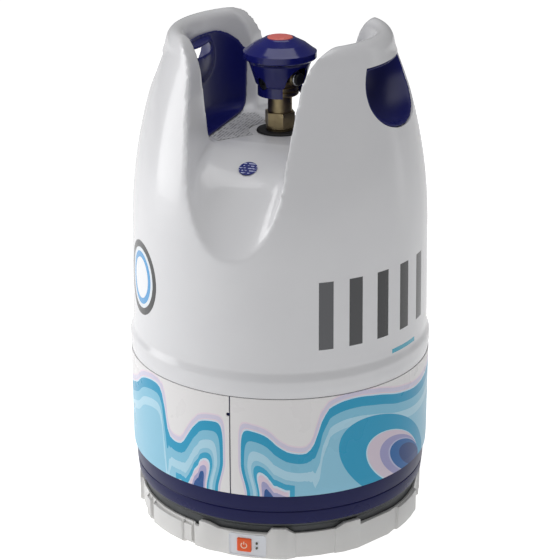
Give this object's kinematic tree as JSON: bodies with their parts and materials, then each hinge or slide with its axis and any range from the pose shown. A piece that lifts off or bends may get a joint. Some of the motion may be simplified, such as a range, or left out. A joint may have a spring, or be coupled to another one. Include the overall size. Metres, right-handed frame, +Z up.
{
  "type": "propane tank",
  "caption": "Composite gas cylinder with two horn handles, valve with handwheel, and a ring base that senses the fill level.",
  "frame": {"origin": "centre of the base ring underside, on the floor", "axes": "+Z up along the tank axis, -Y to the front where the power button is, +X to the right-hand horn"},
  "size_m": [0.3064, 0.3062, 0.506],
  "materials": {
    "white_casing": "gloss",
    "navy_casing": "gloss",
    "navy_liner": "satin",
    "sleeve_print": "gloss",
    "label_print": "matte",
    "badge_print": "matte",
    "liner_hdpe": "matte",
    "wrap_glass": "satin",
    "boss_metal": "machined",
    "valve_brass": "cast and machined",
    "valve_blue": "gloss",
    "disc_coral": "satin",
    "steel": "zinc plated",
    "chrome_ring": "polished",
    "black_plastic": "matte",
    "rubber_black": "matte",
    "cradle_dark": "matte",
    "ring_grey": "satin",
    "panel_white": "satin",
    "button_orange": "satin",
    "lamp_lens": "gloss",
    "board_green": "matte",
    "cell_jacket": "satin",
    "float_foam": "matte"
  },
  "bodies": {
    "tank": {"gas_liner": "liner_hdpe", "composite_wrap": "wrap_glass", "neck_boss": "boss_metal", "neck_washer": "rubber_black", "upper_casing": "white_casing", "lower_casing": "navy_casing", "graphic_sleeve": "sleeve_print", "handle_liner_left": "navy_liner", "handle_liner_right": "navy_liner", "floor_label": "label_print", "data_badge": "badge_print", "valve_body": "valve_brass", "valve_hood": "valve_blue", "gland_nut": "valve_brass", "spindle_seal": "rubber_black", "outlet_ring": "chrome_ring", "relief_cap": "black_plastic", "relief_spring": "steel", "overfill_guard": "valve_brass", "float_pin": "steel", "base_ring": "ring_grey", "ring_clasp": "ring_grey", "base_cradle": "cradle_dark", "base_plate": "black_plastic", "base_screws": "steel", "load_cells": "boss_metal", "rubber_feet": "rubber_black", "battery_tray": "black_plastic", "battery_cells": "cell_jacket", "battery_cover": "black_plastic", "control_panel": "panel_white", "status_lamps": "lamp_lens", "circuit_board": "board_green", "button_switch": "black_plastic", "button_spring": "steel"},
    "wheel": {"handwheel": "valve_blue", "wheel_disc": "disc_coral", "wheel_screw": "steel", "valve_spindle": "steel"},
    "plug": {"valve_plug": "valve_brass", "seat_disc": "rubber_black"},
    "relief": {"relief_poppet": "valve_brass"},
    "float": {"float_arm": "valve_brass", "float_can": "float_foam"},
    "outlet_cap": {"outlet_plug": "black_plastic", "outlet_seal": "rubber_black"},
    "button": {"power_button": "button_orange"}
  },
  "joints": [
    {"name": "wheel_turn", "type": "hinge", "parent": "tank", "child": "wheel", "pos_m": [0, 0, 0.48], "axis": [0, 0, 1], "range_deg": [0, 540]},
    {"name": "plug_lift", "type": "slide", "parent": "tank", "child": "plug", "axis": [0, 0, 1], "range_m": [0, 0.0023]},
    {"name": "relief_pop", "type": "slide", "parent": "tank", "child": "relief", "axis": [-0.5, -0.866, 0], "range_m": [0, 0.0012], "stiffness_N_per_m": 900, "deforming": ["relief_spring"]},
    {"name": "float_swing", "type": "hinge", "parent": "tank", "child": "float", "pos_m": [0, 0, 0.338], "axis": [0, -1, 0], "range_deg": [0, 60]},
    {"name": "outlet_plug_pull", "type": "slide", "parent": "tank", "child": "outlet_cap", "axis": [0.9063, -0.4226, 0], "range_m": [0, 0.02]},
    {"name": "button_press", "type": "slide", "parent": "tank", "child": "button", "axis": [-0.0819, 0.9966, 0], "range_m": [0, 0.001], "stiffness_N_per_m": 800, "deforming": ["button_spring"]}
  ],
  "couplings": [
    {"joint": "plug_lift", "follows": "wheel_turn", "m_per_rad": 0.00023873}
  ]
}
